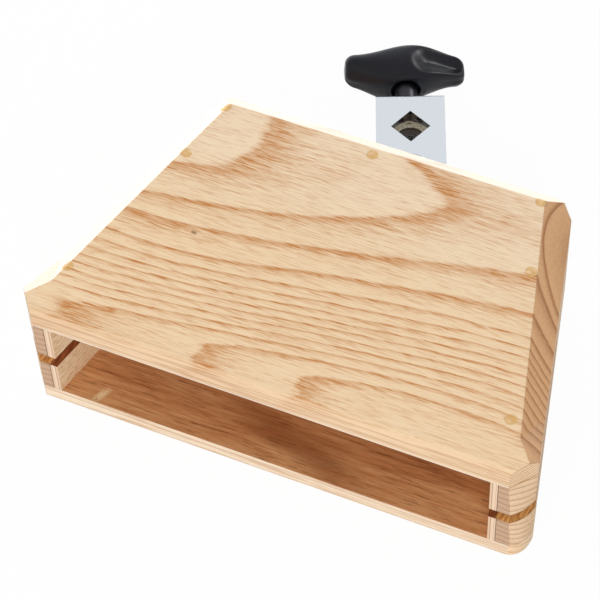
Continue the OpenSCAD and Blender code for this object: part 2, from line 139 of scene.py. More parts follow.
class Shade:
    """A material under construction. Coordinates are millimetres in the row frame."""

    def __init__(self, name):
        self.mat = bpy.data.materials.new(name)
        self.mat.use_nodes = True
        self.tree = self.mat.node_tree
        self.tree.nodes.clear()
        out = self.tree.nodes.new("ShaderNodeOutputMaterial")
        self.bsdf = self.tree.nodes.new("ShaderNodeBsdfPrincipled")
        self.tree.links.new(self.bsdf.outputs[0], out.inputs["Surface"])
        coords = self.tree.nodes.new("ShaderNodeTexCoord")
        scale = self.tree.nodes.new("ShaderNodeVectorMath")
        scale.operation = "SCALE"
        scale.inputs["Scale"].default_value = 1 / MM
        self.tree.links.new(coords.outputs["Object"], scale.inputs[0])
        self.x, self.y, self.z = self.split(scale.outputs[0])
        self.nx, self.ny, self.nz = self.split(coords.outputs["Normal"])

    def split(self, vector):
        node = self.tree.nodes.new("ShaderNodeSeparateXYZ")
        self.tree.links.new(vector, node.inputs[0])
        return [Val(self.tree, output) for output in node.outputs]

    def noise(self, scale=1.0, stretch=(1, 1, 1), detail=2.0, rough=0.5, shift=0.0):
        """Noise of about 0 to 1. The scale is per millimetre, and stretch lengthens it on each axis."""
        join = self.tree.nodes.new("ShaderNodeCombineXYZ")
        for place, length, socket in zip((self.x, self.y, self.z), stretch, join.inputs):
            (place * (1 / length) + shift).put(socket)
        node = self.tree.nodes.new("ShaderNodeTexNoise")
        node.inputs["Scale"].default_value = scale
        node.inputs["Detail"].default_value = detail
        node.inputs["Roughness"].default_value = rough
        self.tree.links.new(join.outputs[0], node.inputs["Vector"])
        return Val(self.tree, node.outputs["Fac"])

    def ramp(self, fac, stops):
        """A colour that follows (place, colour) stops."""
        node = self.tree.nodes.new("ShaderNodeValToRGB")
        ends = node.color_ramp.elements
        ends[0].position, ends[0].color = stops[0]
        ends[1].position, ends[1].color = stops[-1]
        for place, colour in stops[1:-1]:
            ends.new(place).color = colour
        fac.put(node.inputs[0])
        return node.outputs[0]

    def levels(self, fac, stops):
        """A float that follows (place, value) stops."""
        return self.split(self.ramp(fac, [(place, (level, level, level, 1)) for place, level in stops]))[0]

    def fill(self, socket, value):
        """Links a socket to a value or colour of the tree, or sets it to a constant."""
        if isinstance(value, Val):
            value.put(socket)
        elif isinstance(value, (int, float, tuple)):
            socket.default_value = value
        else:
            self.tree.links.new(value, socket)

    def mix(self, fac, first, second):
        """The first colour where fac is 0, the second where it is 1."""
        node = self.tree.nodes.new("ShaderNodeMix")
        node.data_type = "RGBA"
        # The node has sockets for each type of data: numbers 6 and 7, and output 2, are the colours
        self.fill(node.inputs[0], fac)
        self.fill(node.inputs[6], first)
        self.fill(node.inputs[7], second)
        return node.outputs[2]

    def relief(self, height, distance, strength, ease=0.0):
        """Bump that rises the distance in mm, over edges eased by a small radius in mm."""
        bump = self.tree.nodes.new("ShaderNodeBump")
        bump.inputs["Strength"].default_value = strength
        bump.inputs["Distance"].default_value = distance * MM
        height.put(bump.inputs["Height"])
        if ease:
            bevel = self.tree.nodes.new("ShaderNodeBevel")
            bevel.samples = 4
            bevel.inputs["Radius"].default_value = ease * MM
            self.tree.links.new(bevel.outputs[0], bump.inputs["Normal"])
        self.tree.links.new(bump.outputs[0], self.bsdf.inputs["Normal"])

    def done(self, colour, **values):
        """The material, with the shader's sockets filled. Their names have _ for each space."""
        self.fill(self.bsdf.inputs["Base Color"], colour)
        for name, value in values.items():
            self.fill(self.bsdf.inputs[name.replace("_", " ")], value)
        return self.mat


# Sizes of the block that the materials and pieces below use, in millimetres

def box_mm(node):
    """Lowest and highest corner of a CAD node."""
    low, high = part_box(node)
    return low / MM, high / MM


top_low, top_high = box_mm("top_plate")
TOP_Z = top_high.z
WALL_TOP = top_low.z
FRONT_Y = top_low.y
FLOOR_Z = box_mm("bottom_plate")[1].z
SLIT_FLOOR_Z = 23.2
SLIT_TOP_Z = 28.2
WALL_TAPER = math.tan(math.radians(13.5))
# Thickness of a side liner along X, and the face of the right one that shows in the chamber's mouth
LINER_X_T = 2.88
LINER_IN_X = box_mm("right_liner")[1].x - LINER_X_T

# The rod's axis, the reach of the square windows round it, and the reach of the painted highlight on the
# eye's flat faces
BUSH_Y = 17.5
WINDOW_REACH = 7.4
RING_PAINTED_LIGHT = 7.7
joints = {joint["name"]: joint for joint in frame["joints"]}
bolt_dir = Vector(joints["eye_draw"]["axis"]).normalized()
turn_at = Vector(joints["wing_nut_turn"]["pos_m"])
rod_at = turn_at - bolt_dir * BUSH_Y * MM
ROD_X = rod_at.x / MM
ROD_Y = rod_at.y / MM


# Ash wood

# Growth rings of the top plate. The log's middle runs below the board, under the line y = PITH_Y.
# Rings are numbered outwards, and distances from the line are in millimetres.
PITH_Y = 34.0
PITH_DEPTH = 45.0
# The number at the line, and how fast it falls inside the ring that just touches the top face
FIRST_RING = -0.50
INNER_RINGS = 0.06
# The number grows by the square of the distance over CURL. POINTED adds a part that grows evenly, so
# that the rings come to a point where they cross the line.
CURL = 833.0
POINTED = 8.5
# DENSE_RINGS more lie between these distances, and round DENSE_MID the rings slant most
DENSE_FROM = 45.0
DENSE_MID = 62.5
DENSE_REACH = 21.5
DENSE_TO = 80.0
DENSE_RINGS = 3.75
# Rings gained for each millimetre from left to right, what that loses at both ends, and its bow
RING_RISE = 1.12 / 60
DENSE_RISE = 1.65 / 60
RISE_FALL = 0.17 / 60 ** 3
DENSE_FALL = 0.50 / 60 ** 3
DENSE_BOW = 0.32 / 60 ** 2
# Distances over which the bow sets in, and over which it turns to the other side
BOW_SETS_IN = (34, 52)
BOW_TURNS = (50, 74)
# Within this much of DENSE_TO the distance stops counting, and the rings end in arches at the front.
# Left of ARCH_LEFT_X these lean, and all of them shift as they go down the front edge.
ARCH_TURN = 4.0
ARCH_LEFT_X = -28
ARCH_LEFT_LEAN = 0.0045
ARCH_DEPTH_LEAN = 0.02
# The rings near the line have one knee, which ends over these distances
KNEE_X = -35.0
KNEE_REACH = 25
KNEE_ENDS = (4, 16)
KNEE = 0.24
# Behind the line the rings are drawn apart, from this far left of the middle
LEFT_FROM = (15, 40)
LEFT_CALM = 0.85
# How ragged the arches and the rings near the line are, in millimetres, and where that ends
RAGGED = 9
RAGGED_ENDS = (-6, 14)
# Darkness over one ring, from its inner edge to its outer one
EARLY_WOOD = [(0.0, 0.40), (0.03, 0.85), (0.10, 0.78), (0.22, 0.42),
              (0.45, 0.14), (0.8, 0.0), (0.96, 0.05), (1.0, 0.40)]

ASH_PALE = rgb(250, 221, 182)
ASH_BACK = rgb(255, 238, 214)
ASH_DARK = rgb(204, 134, 68)
END_PALE = rgb(243, 191, 138)
END_DARK = rgb(182, 114, 62)
FACET_PALE = rgb(244, 212, 174)
FACET_DARK = rgb(198, 150, 106)
# Painted highlight, for eased edges and for the bevels that face the key light
PAINTED_HIGHLIGHT = rgb(250, 240, 229)
EDGE_TOP = rgb(234, 202, 166)
EDGE_BOTTOM = rgb(248, 232, 212)
EDGE_LINE = rgb(176, 118, 70)
KNOT_DARK = rgb(110, 60, 28)
WOOD_GLOSS = {"Roughness": 0.5, "Specular_IOR_Level": 0.3}
# How far a face has turned from the grain where its end grain begins, and where it is full
END_TURN = (0.35, 0.62)
TOP_END_TURN = (0.15, 0.35)

# Middles of the pin knots, and heights and half widths of the two long lines on a front edge
KNOTS = [(-47.2, -8.2), (67.0, 17.9)]
KNOT_REACH = (1.3, 0.8)
EDGE_LINES = [(2.4, 0.5), (6.4, 0.6)]

# Marks on the chamber's floor: middle, reach on both axes, and slant
STAIN_X = 6
STAIN_Y = -45.5
STAIN_REACH = (32, 8)
STAIN_SLANT = 0.28
SMEAR_X = -64.9
SMEAR_Y = -54.1
SMEAR_REACH = (1.9, 3.8)
SMEAR_SLANT = 0.43


def top_rings(shade):
    """Number of the growth ring at a point of the top plate."""
    sway = (shade.noise(0.045, (2.2, 1, 1), detail=3, shift=3.1) - 0.5) * 2.0
    ripple = (shade.noise(0.35, (6, 1, 1), detail=2, shift=9.7) - 0.5) * 0.9
    ragged = (shade.noise(0.30, (2.5, 1, 1), detail=4, rough=0.65, shift=33.0) - 0.5) * RAGGED
    out = PITH_Y - (shade.y + sway + ripple)
    at_left = (shade.x * -1).step(*LEFT_FROM)
    out = out - out.min(0) * at_left * LEFT_CALM

    depth = (TOP_Z - shade.z).max(0)
    climb = out * out - depth * (2 * PITH_DEPTH - depth)
    sunk = climb.max(0.01).sqrt()
    inside = (climb * -1).max(0).sqrt() * (1 - shade.ny.abs()) * INNER_RINGS
    on_top = 1 - depth.step(0.1, 1.0)
    on_top = on_top.max(shade.ny.abs())
    away = out.abs() * on_top + sunk * (1 - on_top)

    late = (away - (DENSE_TO - ARCH_TURN)).max(0).min(2 * ARCH_TURN)
    held = away.min(DENSE_TO + ARCH_TURN) - late * late / (4 * ARCH_TURN)
    rings = (held + POINTED) * held / CURL + held.step(DENSE_FROM, DENSE_TO - 1) * DENSE_RINGS + FIRST_RING
    knee = shade.x.hump(KNEE_X, KNEE_REACH) * (1 - away.step(*KNEE_ENDS)) * KNEE

    dense = held.hump(DENSE_MID, DENSE_REACH)
    slope = dense * DENSE_RISE + RING_RISE
    bow = (1 - held.step(*BOW_TURNS) * 2) * held.step(*BOW_SETS_IN) * DENSE_BOW
    fall = dense * DENSE_FALL + RISE_FALL
    at_front = away.step(DENSE_TO - ARCH_TURN, DENSE_TO)
    x = shade.x + ragged * (at_front + (1 - away.step(*RAGGED_ENDS)))
    left_arches = at_front * (shade.x - ARCH_LEFT_X).min(0) * ARCH_LEFT_LEAN
    rings = rings - inside + knee - left_arches + at_front * depth * ARCH_DEPTH_LEAN
    return rings + x * (slope + x * (bow - x * fall))


def lengthwise(along, times):
    """Stretch of a noise along the grain, which runs along x or y."""
    return (times, 1, 1) if along == "x" else (1, times, 1)


def ash(shade, rings, along, pale, dark, contrast=1.0):
    """Ash across the rings: porous early wood sets in sharply and fades into pale late wood."""
    early = shade.levels(rings.fract(), EARLY_WOOD)
    fibre = shade.noise(2.2, lengthwise(along, 20), detail=4, rough=0.7)
    pores = shade.noise(1.7, lengthwise(along, 11), shift=5.0).step(0.51, 0.66)
    cloud = shade.noise(0.05, lengthwise(along, 2.5), shift=13.0)
    amount = (early * (0.44 + 0.60 * fibre) + pores * (early * 0.40 + 0.20)) * contrast
    amount = amount + (fibre - 0.5) * 1.9 + (cloud - 0.5) * 0.30
    return shade.mix(amount.clamp(), pale, dark), early, fibre, pores


def wood_relief(shade, early, fibre, pores):
    """Raised fibres and sunk pores."""
    shade.relief(fibre * 0.5 - pores * early * 0.5, 0.06, 0.35, ease=0.5)


def end_grain(shade, early, pale, dark):
    """Ash cut across the grain: dots of open pores in each ring."""
    dots = shade.noise(2.2, shift=31.0).step(0.50, 0.62)
    speck = shade.noise(0.9, detail=3, shift=41.0) - 0.5
    return shade.mix((early + dots * 0.16 + speck * 0.4).clamp(), pale, dark)


def top_ends(shade, early):
    """End grain of the top plate: warm on its ends, paler and slanting on the cut corners at the front."""
    wave = (shade.noise(0.12, shift=37.0) - 0.5) * 2.5
    slant = (shade.z - (shade.y - FRONT_Y) * 0.30 + wave) * 0.62
    lines = slant.fract().hump(0.45, 0.40) * 0.7
    cut_corner = (shade.ny * -1).step(0.3, 0.5) * (1 - shade.nz.step(0.15, 0.40))
    end = end_grain(shade, early, END_PALE, END_DARK)
    corner = end_grain(shade, lines, FACET_PALE, FACET_DARK)
    return shade.mix(cut_corner, end, corner)


def front_lines_and_painted_highlights(shade, colour, edge, amount, low_z):
    """Front edge lines, with painted highlights on the lip under them and on the bevels behind and to the
    left.
    """
    front = (shade.ny * -1).step(0.30, 0.90) * (1 - shade.nx.abs().step(*TOP_END_TURN))
    lines = shade.noise(1.5, (40, 1, 1), detail=2, rough=0.6, shift=51.0).step(0.50, 0.60)
    height = shade.z - low_z + (shade.noise(0.02, shift=57.0) - 0.5) * 3
    for line_at, half_width in EDGE_LINES:
        lines = lines.max(height.hump(line_at, half_width))
    # Painted highlight along the eased lower edge of the front face
    lip = 1 - (shade.z - low_z).step(0.3, 1.2)
    colour = shade.mix(front * amount, colour, shade.mix(lines * 0.55, edge, EDGE_LINE))
    colour = shade.mix(front * lip * 0.5, colour, PAINTED_HIGHLIGHT)
    # Painted highlight on the bevels behind and to the left, which face the key light
    behind = shade.ny.step(0.3, 0.5) * 0.65
    to_left = (shade.nx * -1).step(*TOP_END_TURN) * 0.85
    bevels = shade.nz.hump(0.7, 0.4) * behind.max(to_left)
    return shade.mix(bevels, colour, PAINTED_HIGHLIGHT)


def knots(shade):
    """1 at the middle of each pin knot, which is a little drawn out along the grain."""
    reach_x, reach_y = KNOT_REACH
    left, right = (shade.x.hump(x, reach_x) * shade.y.hump(y, reach_y) for x, y in KNOTS)
    return left.max(right)


def ash_top():
    """Lacquered top plate, paler towards the back, with arched rings and two pin knots."""
    shade = Shade("ash_top")
    pale = shade.mix(shade.y.step(-15, 40) * 0.40, ASH_PALE, ASH_BACK)
    colour, early, fibre, pores = ash(shade, top_rings(shade), "x", pale, ASH_DARK)
    colour = shade.mix(knots(shade) * 0.75, colour, KNOT_DARK)
    colour = shade.mix(shade.nx.abs().step(*TOP_END_TURN), colour, top_ends(shade, early))
    colour = front_lines_and_painted_highlights(shade, colour, EDGE_TOP, 0.75, WALL_TOP)
    wood_relief(shade, early, fibre, pores)
    return shade.done(colour, Coat_Weight=0.12, Coat_Roughness=0.3, **WOOD_GLOSS)


def chamber_floor(shade):
    """Upper face of the bottom plate: streaked, with painted shade deeper in the chamber, a stain and a
    pale smear.
    """
    streak = shade.noise(0.9, (16, 1, 1), detail=4, rough=0.7, shift=71.0)
    broad = shade.noise(0.10, (6, 1, 1), shift=77.0)
    tone = (streak * 0.8 + broad * 0.5 - 0.15).clamp()
    colour = shade.ramp(tone, [(0.22, rgb(134, 72, 38)), (0.46, rgb(196, 134, 86)),
                               (0.72, rgb(222, 172, 122))])
    # Painted shade: the floor darkens deeper in the chamber, under the top plate
    deeper_shade = (shade.y - FRONT_Y).step(6, 34)
    colour = shade.mix(deeper_shade * 0.45, colour, rgb(128, 70, 36))

    wave = (shade.noise(0.10, (3, 1, 1), detail=3, shift=23.0) - 0.5) * 24
    stain = (shade.x + wave).hump(STAIN_X, STAIN_REACH[0])
    stain = stain * (shade.y + wave * 0.3 + shade.x * STAIN_SLANT).hump(STAIN_Y, STAIN_REACH[1])
    colour = shade.mix((stain * 0.7 * (tone * 0.8 + 0.5)).clamp(), colour, rgb(128, 62, 22))
    dark_lines = shade.noise(1.3, (14, 1, 1), detail=4, rough=0.75, shift=29.0).step(0.52, 0.68) * 0.6
    colour = shade.mix(dark_lines, colour, rgb(104, 54, 26))

    smear = (shade.x - SMEAR_X - (shade.y - SMEAR_Y) * SMEAR_SLANT).hump(0, SMEAR_REACH[0])
    smear = smear * shade.y.hump(SMEAR_Y, SMEAR_REACH[1])
    smear = smear * shade.noise(0.8, detail=3, shift=83.0).step(0.26, 0.48)
    return shade.mix(smear, colour, rgb(232, 204, 160))


def ash_bottom():
    """Bottom plate: pale outside, and darker on the face that is the chamber's floor."""
    shade = Shade("ash_bottom")
    sway = (shade.noise(0.03, (3, 1, 1), detail=3, shift=61.0) - 0.5) * 9
    rings = (shade.y + sway) * 0.13 + shade.z * 0.30 + shade.x * 0.004
    colour, early, fibre, pores = ash(shade, rings, "x", ASH_PALE, ASH_DARK, 0.8)
    ends = end_grain(shade, early * 0.6, FACET_PALE, FACET_DARK)
    colour = shade.mix(shade.nx.abs().step(*END_TURN), colour, ends)
    outer = front_lines_and_painted_highlights(shade, colour, EDGE_BOTTOM, 0.6, 0.0)
    upper_face = shade.nz.step(0.5, 0.9) * (shade.z - FLOOR_Z + 0.5).step(0.0, 0.3)
    wood_relief(shade, early, fibre, pores)
    return shade.done(shade.mix(upper_face, outer, chamber_floor(shade)), **WOOD_GLOSS)


def slit_floor(shade):
    """1 on the lower face of a slit."""
    return shade.nz.step(0.6, 0.9) * (shade.z - SLIT_FLOOR_Z).abs().op("LESS_THAN", 0.3)


def ash_side():
    """Solid walls: long grain from front to back, end grain in front, and rough saw cuts in the slits,
    burnt and darkened with painted shade.
    """
    shade = Shade("ash_side")
    sway = (shade.noise(0.06, (1, 3, 1), detail=3, shift=81.0) - 0.5) * 3
    rings = (shade.z + shade.x.abs() * 0.10 + (shade.y - FRONT_Y).min(9) * 0.37 + sway) * 0.33
    colour, early, fibre, _ = ash(shade, rings, "y", rgb(232, 198, 156), rgb(196, 138, 88))
    corners = end_grain(shade, early, rgb(238, 206, 170), rgb(194, 150, 112))
    front = end_grain(shade, early, rgb(204, 168, 138), rgb(170, 132, 104))
    ends = shade.mix(shade.ny.abs().step(0.85, 0.98), corners, front)
    colour = shade.mix(shade.ny.abs().step(*END_TURN), colour, ends)
    # Slit floor: burnt saw marks, in part painted shade inside the slit
    saw = shade.noise(1.4, (0.6, 4, 4), detail=3, shift=91.0)
    cut_and_shaded_face = shade.ramp(saw, [(0.3, rgb(146, 84, 36)), (0.7, rgb(236, 178, 108))])
    shade.relief(fibre, 0.05, 0.3, ease=1.2)
    return shade.done(shade.mix(slit_floor(shade), colour, cut_and_shaded_face), **WOOD_GLOSS)


def filler():
    """Wood filler, smeared unevenly so that the wood shows through."""
    shade = Shade("filler")
    wood = ash(shade, top_rings(shade), "x", ASH_PALE, ASH_DARK)[0]
    lumps = shade.noise(0.8, detail=3, shift=7.0)
    paste = shade.ramp(lumps, [(0.3, rgb(212, 160, 84)), (0.7, rgb(230, 186, 112))])
    cover = shade.noise(0.55, (1.6, 1, 1), detail=2, shift=19.0).step(0.26, 0.50)
    shade.relief(lumps, 0.05, 0.3)
    return shade.done(shade.mix(cover * 0.7, wood, paste), **WOOD_GLOSS)


# Plywood, metals and plastic

# Colours through the plywood, from its face in the chamber to the dark glue on the wall
PLY_LAYERS = [
    (0.0, rgb(226, 190, 156)),
    (0.22, rgb(230, 196, 164)),
    (0.29, rgb(160, 116, 84)),
    (0.36, rgb(236, 206, 176)),
    (0.66, rgb(240, 212, 184)),
    (0.72, rgb(206, 160, 124)),
    (0.78, rgb(240, 210, 182)),
    (0.90, rgb(226, 190, 158)),
    (0.95, rgb(84, 60, 50)),
]
CHROME = (0.85, 0.905, 0.955, 1)
# Painted reflection of the dark gap, on the walls of the strap's windows
WINDOW_PAINTED_REFLECTION = (0.10, 0.09, 0.08, 1)


def ply():
    """Thin three-ply sheet: the layers run along the wall and show at the front edge."""
    shade = Shade("ply")
    into = (shade.x.abs() - LINER_IN_X + (shade.y - FRONT_Y) * WALL_TAPER) / LINER_X_T
    edge = shade.ramp(into, PLY_LAYERS)
    grain = shade.noise(1.6, (1, 36, 1), detail=3, rough=0.6, shift=15.0)
    face = shade.ramp(grain, [(0.32, rgb(214, 174, 132)), (0.5, rgb(246, 216, 176)),
                              (0.7, rgb(254, 236, 206))])
    # Slit floor in the plywood: a burnt saw cut, with painted shade making it darker deep in the slit
    burns = shade.noise(1.0, (1, 3, 1), shift=17.0)
    burnt_and_shaded = shade.ramp(burns, [(0.3, rgb(96, 44, 18)), (0.7, rgb(146, 80, 40))])
    colour = shade.mix(shade.ny.abs().step(0.6, 0.9), face, edge)
    shade.relief(grain, 0.05, 0.3, ease=0.3)
    return shade.done(shade.mix(slit_floor(shade), colour, burnt_and_shaded), Roughness=0.55)


def metal(name, colour, rough, spread, scale, bump=0.0):
    """Plain metal with uneven tone and gloss. Spread is how much its roughness varies."""
    shade = Shade(name)
    fine = shade.noise(scale, detail=3)
    broad = shade.noise(0.12, shift=4.0)
    dim = tuple(level * 0.85 for level in colour[:3]) + (1.0,)
    shade.relief(fine, bump, 0.3, ease=0.25)
    return shade.done(shade.mix((fine * 0.5 + broad * 0.5).clamp(), dim, colour), Metallic=1.0,
                      Roughness=(fine - 0.5) * spread + rough)


def from_rod(shade):
    """Distance from the rod's axis."""
    x = shade.x - ROD_X
    y = shade.y - ROD_Y
    return (x * x + y * y).sqrt()


def strap_chrome():
    """Bright chrome, with a painted reflection of the dark gap on the walls of its square windows."""
    shade = Shade("chrome")
    fine = shade.noise(0.7, detail=3)
    near_rod = 1 - from_rod(shade).step(WINDOW_REACH, WINDOW_REACH + 0.3)
    # Painted reflection of the dark gap on the windows' walls
    wall = (1 - shade.nz.abs().step(0.3, 0.7)) * near_rod
    return shade.done(shade.mix(wall, CHROME, WINDOW_PAINTED_REFLECTION), Metallic=1.0,
                      Roughness=(fine - 0.5) * 0.04 + 0.27)


def bolt_steel():
    """Speckled steel: the flat faces of the ring carry a painted highlight, and the rest is painted dark as
    shade.
    """
    shade = Shade("bolt_steel")
    speck = shade.noise(1.6, detail=4, rough=0.7)
    # Painted light: a highlight on the ring's flat faces, and painted shade on all the rest
    flat = shade.nz.abs().step(0.75, 0.95) * (1 - from_rod(shade).step(RING_PAINTED_LIGHT, RING_PAINTED_LIGHT + 0.7))
    bright = shade.ramp(speck, [(0.36, rgb(186, 160, 124)), (0.50, rgb(242, 230, 204)),
                                (0.7, rgb(254, 248, 232))])
    dark = shade.ramp(speck, [(0.35, rgb(34, 24, 18)), (0.7, rgb(96, 78, 58))])
    shade.relief(speck, 0.05, 0.3, ease=0.25)
    return shade.done(shade.mix(flat, dark, bright), Metallic=0.25, Roughness=speck * 0.3 + 0.3)


def black_plastic():
    """Moulded black plastic with a faint orange peel."""
    shade = Shade("black_plastic")
    fine = shade.noise(2.5)
    shade.relief(shade.noise(0.25, shift=2.0), 0.15, 0.25)
    return shade.done(shade.ramp(fine, [(0.3, rgb(26, 27, 33)), (0.7, rgb(34, 35, 42))]),
                      Roughness=(fine - 0.5) * 0.08 + 0.29, Specular_IOR_Level=0.2)


top_mat = ash_top()
bottom_mat = ash_bottom()
side_mat = ash_side()
ply_mat = ply()
filler_mat = filler()
chrome_mat = strap_chrome()
zinc_mat = metal("zinc", (0.70, 0.71, 0.72, 1), rough=0.34, spread=0.16, scale=1.5, bump=0.02)
bolt_mat = bolt_steel()
bush_mat = metal("black_steel", (0.07, 0.07, 0.08, 1), rough=0.38, spread=0.10, scale=1.4, bump=0.02)
nail_mat = metal("nail_steel", (0.55, 0.55, 0.54, 1), rough=0.4, spread=0.1, scale=1.5)
plastic_mat = black_plastic()

PAINT = {
    top_mat: ["top_plate"],
    bottom_mat: ["bottom_plate"],
    side_mat: ["left_side", "right_side", "back_block"],
    ply_mat: ["left_liner", "right_liner", "back_liner"],
    filler_mat: ["top_plugs", "bottom_plugs"],
    nail_mat: ["top_nails", "bottom_nails"],
    zinc_mat: ["foot_bracket", "foot_screws", "swivel_rivet", "flat_washer"],
    chrome_mat: ["clamp_bracket"],
    bolt_mat: ["eye_bolt"],
    bush_mat: ["wing_bush"],
    plastic_mat: ["wing_nut"],
}
for paint, nodes in PAINT.items():
    for node in nodes:
        node_mesh = frame["nodes"][node].data
        node_mesh.materials.clear()
        node_mesh.materials.append(paint)


# Mesh pieces

def new_piece(name, verts, faces, mat):
    """A mesh object of one material, smooth but for its sharp edges."""
    mesh = bpy.data.meshes.new(name)
    mesh.from_pydata([tuple(v) for v in verts], [], faces)
    mesh.materials.append(mat)
    obj = bpy.data.objects.new(name, mesh)
    bpy.context.scene.collection.objects.link(obj)
    smooth_mesh(mesh)
    return obj


def stands_for(obj, body, node):
    """The piece rides on a body, in the place of a CAD node."""
    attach(obj, body)
    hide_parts(node)


def smooth_mesh(mesh, sharp=40):
    """Smooth shading, but for edges that turn by more than the angle given in degrees."""
    bm = bmesh.new()
    bm.from_mesh(mesh)
    bmesh.ops.remove_doubles(bm, verts=bm.verts, dist=1e-7)
    bmesh.ops.recalc_face_normals(bm, faces=bm.faces)
    for edge in bm.edges:
        edge.smooth = len(edge.link_faces) == 2 and edge.calc_face_angle(0) < math.radians(sharp)
    for face in bm.faces:
        face.smooth = True
    bm.to_mesh(mesh)
    bm.free()


def lofted(rows):
    """Vertices and faces through closed rows of equally many points, with both ends closed."""
    count = len(rows[0])
    verts = [point for row in rows for point in row]
    faces = []
    for i in range(len(rows) - 1):
        for j in range(count):
            k = (j + 1) % count
            faces.append((i * count + j, i * count + k, (i + 1) * count + k, (i + 1) * count + j))
    faces.append(tuple(range(count)))
    faces.append(tuple((len(rows) - 1) * count + j for j in reversed(range(count))))
    return verts, faces


def reshape(obj, operation, *tools):
    """Cuts other objects out of a piece, or joins them to it, and removes them."""
    for tool in tools:
        mod = obj.modifiers.new("reshape", "BOOLEAN")
        mod.operation = operation
        mod.solver = "EXACT"
        mod.object = tool
    bpy.context.view_layer.update()
    graph = bpy.context.evaluated_depsgraph_get()
    mesh = bpy.data.meshes.new_from_object(obj.evaluated_get(graph))
    obj.modifiers.clear()
    obj.data = mesh
    for tool in tools:
        bpy.data.objects.remove(tool)


def smooth_step(x, low, high):
    """0 below low, 1 above high, smooth between."""
    t = min(1.0, max(0.0, (x - low) / (high - low)))
    return t * t * (3 - 2 * t)


# Right front corner of the block: a crisp cut under the top plate, worn rounder towards the table.
# A fill joined there makes it fuller, and lies INSET behind the block's front and side faces.
INSET = 0.01
# Radius of the bottom plate's front edge, height of the worn foot, and where side and front would meet
FRONT_ROUND = 3.0
FOOT_HEIGHT = 4.4
WIDEST_X = 93.69
# At the table: the cut's end in the front, the tip that it curves towards, and its end in the side
CUT_FRONT_X = 85.7
CUT_TIP_X = 91.6
CUT_SIDE_Y = -48.2
# How far these three have moved at the top plate, the first of them from this height on
FRONT_LEAN = 0.9
LEAN_FROM_Z = 30
TIP_LEAN = 1.9
SIDE_LEAN = 0.6
# How far the cut curves towards the tip at the table, what of that is lost at the top, and how evenly
CUT_ROUND = 0.85
ROUND_LOSS = 0.80
LOSS_POWER = 0.8
CUT_STEPS = 14
# How far the foot draws in at its front and back, and the side's share of the front's rounding
FOOT_FRONT = 1.2
FOOT_BACK = (1.8, 1.5)
SIDE_SHARE = 0.4
# The fill runs on a little behind the cut, and closes through the inside of the block
RUN_ON = (0.7, 3.0)
INNER_FRONT_X = 80.0
INNER_BACK = (84.0, -44.0)
# Heights of the fill's rows in the bottom plate, and below and above the slit
PLATE_ROWS = (0, 0.2, 0.5, 1, 1.6, 2.3, 3, 4.4, 6, FLOOR_Z)
LOWER_ROWS = (FLOOR_Z, 11, 14, 17, 20, SLIT_FLOOR_Z)
UPPER_ROWS = (SLIT_TOP_Z, 31, 34, 37, 40, WALL_TOP)


def corner_row(z):
    """Plan outline of the fill at a height."""
    up = z / WALL_TOP
    sag = FRONT_ROUND - math.sqrt(FRONT_ROUND ** 2 - max(0.0, FRONT_ROUND - z) ** 2)
    foot = 1 - min(1.0, z / FOOT_HEIGHT)
    edge_y = FRONT_Y + sag + INSET
    lean = FRONT_LEAN * smooth_step(z, LEAN_FROM_Z, WALL_TOP)
    front = Vector((CUT_FRONT_X - lean - FOOT_FRONT * foot, edge_y))
    side_y = CUT_SIDE_Y - SIDE_LEAN * up
    side = Vector((WIDEST_X - (side_y - FRONT_Y) * WALL_TAPER - INSET - SIDE_SHARE * sag, side_y))
    tip = Vector((CUT_TIP_X + TIP_LEAN * up - SIDE_SHARE * sag, edge_y))
    roundness = CUT_ROUND - ROUND_LOSS * up ** LOSS_POWER
    row = [(INNER_FRONT_X, edge_y, z)]
    for i in range(CUT_STEPS + 1):
        t = i / CUT_STEPS
        point = front.lerp(side, t) + t * (1 - t) * roundness * (2 * tip - front - side)
        row.append((point.x, point.y, z))
    row.append((side.x - RUN_ON[0] - FOOT_BACK[0] * foot, side_y + RUN_ON[1] - FOOT_BACK[1] * foot, z))
    row.append((*INNER_BACK, z))
    return row


def corner_fill(heights):
    """The fill between the first height and the last."""
    rows = [[Vector(point) * MM for point in corner_row(z)] for z in heights]
    return new_piece("corner", *lofted(rows), side_mat)


def with_corner(node, mat, slot, *fills):
    """The CAD piece with the fuller corner joined to it."""
    obj = bpy.data.objects.new(node + "_body", frame["nodes"][node].data.copy())
    bpy.context.scene.collection.objects.link(obj)
    reshape(obj, "UNION", *fills)
    obj.data.materials.clear()
    obj.data.materials.append(mat)
    smooth_mesh(obj.data, sharp=30)
    stands_for(obj, "block", node)


with_corner("bottom_plate", bottom_mat, "ash_plate", corner_fill(PLATE_ROWS))
with_corner("right_side", side_mat, "ash_block", corner_fill(LOWER_ROWS), corner_fill(UPPER_ROWS))


# Frame of the bolt: origin on the rod axis, X to the side, Y along the bolt, in millimetres
side_dir = Vector((bolt_dir.y, -bolt_dir.x, 0))


def at_bolt(x, y, z):
    """The place in metres of a point in that frame."""
    return rod_at + (side_dir * x + bolt_dir * y + Vector((0, 0, z))) * MM


# Wing nut. Each wing is the other one turned half round the bolt. WING_Y is the wings' distance from
# the rod. Their middle line bows in a wave, and the whole nut is turned by WING_ROLL.
WING_HALF = 22.6
WING_Y = 34.1
WING_BOW = 0.9
BOW_TURN = math.radians(240)
WING_ROLL = math.radians(5)
WING_ROWS = 96
# Corners of the right wing's section: along the bolt, and up
WING_SECTION = [(4.4, 0.0), (4.3, 4.2), (0.2, 4.8), (-4.0, 3.9),
                (-4.6, 1.3), (-4.6, -1.4), (-0.6, -6.4), (3.9, -4.7)]
CURVE_STEPS = 8
